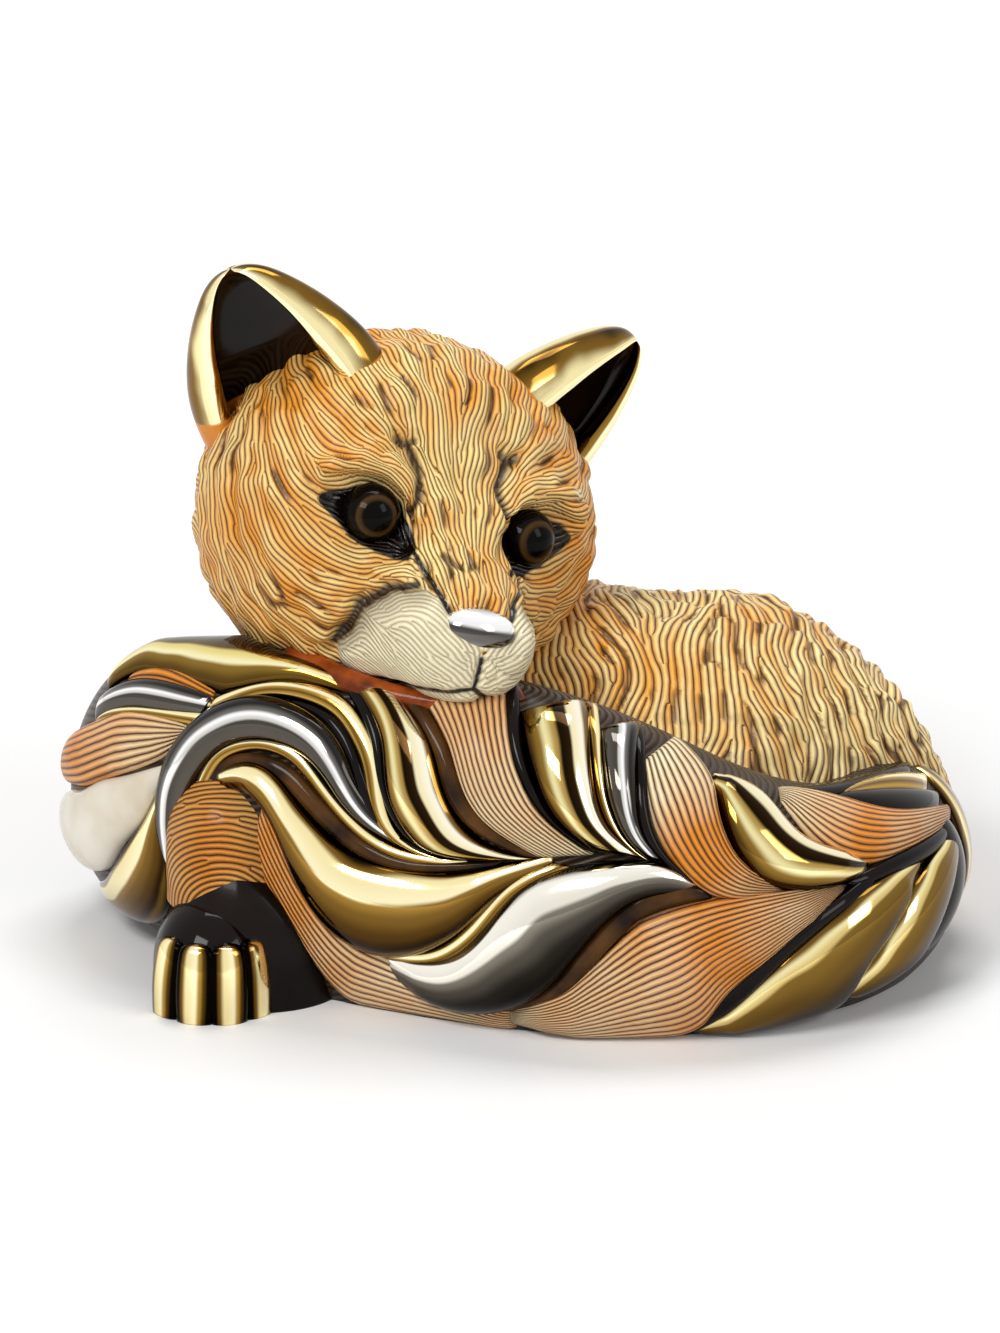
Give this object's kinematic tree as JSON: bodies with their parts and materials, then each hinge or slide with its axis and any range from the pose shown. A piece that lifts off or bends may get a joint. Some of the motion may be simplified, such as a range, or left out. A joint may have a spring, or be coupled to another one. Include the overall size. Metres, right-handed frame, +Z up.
{
  "type": "fox figurine",
  "caption": "Curled-up fox kit figurine in carved and glazed stoneware, its tail wrapped round the front, with metallic lustre locks, ears and toes.",
  "frame": {"origin": "centre of the figurine's footprint on its base plane", "axes": "+Z up, +X along the body to the viewer's right, the fox faces -Y"},
  "size_m": [0.1144, 0.0766, 0.0882],
  "materials": {
    "carved_fur_glaze": "satin glaze over carved fur lines, orange with cream and brown",
    "ivory_glaze": "gloss",
    "black_glaze": "high gloss",
    "dark_bronze_glaze": "gloss with a metallic tint",
    "eye_glaze": "high gloss",
    "gold_lustre": "fired lustre, mirror-like",
    "platinum_lustre": "fired lustre, mirror-like"
  },
  "bodies": {
    "root": {"foreleg": "carved_fur_glaze", "head": "carved_fur_glaze", "left_ear": "gold_lustre", "left_eye": "eye_glaze", "lower_carved": "carved_fur_glaze", "lower_dark_right": "black_glaze", "lower_fur_strip": "carved_fur_glaze", "lower_gold_left": "gold_lustre", "lower_gold_middle": "gold_lustre", "lower_gold_right": "gold_lustre", "lower_platinum": "platinum_lustre", "nose": "platinum_lustre", "paw": "black_glaze", "paw_sleeve": "black_glaze", "platinum_arch": "platinum_lustre", "right_ear": "gold_lustre", "right_eye": "eye_glaze", "side_gold": "gold_lustre", "tail_core": "dark_bronze_glaze", "tip_carved": "carved_fur_glaze", "tip_gold_low": "gold_lustre", "tip_gold_top": "gold_lustre", "tip_ivory": "ivory_glaze", "tip_platinum": "platinum_lustre", "toe_1": "gold_lustre", "toe_2": "gold_lustre", "toe_3": "gold_lustre", "toe_4": "gold_lustre", "trunk": "carved_fur_glaze", "upper_carved_left": "carved_fur_glaze", "upper_carved_middle": "carved_fur_glaze", "upper_carved_right": "carved_fur_glaze", "upper_dark_tip": "black_glaze", "upper_gold_left": "gold_lustre", "upper_gold_middle": "gold_lustre", "upper_gold_right": "gold_lustre", "upper_platinum_short": "platinum_lustre"}
  },
  "joints": []
}
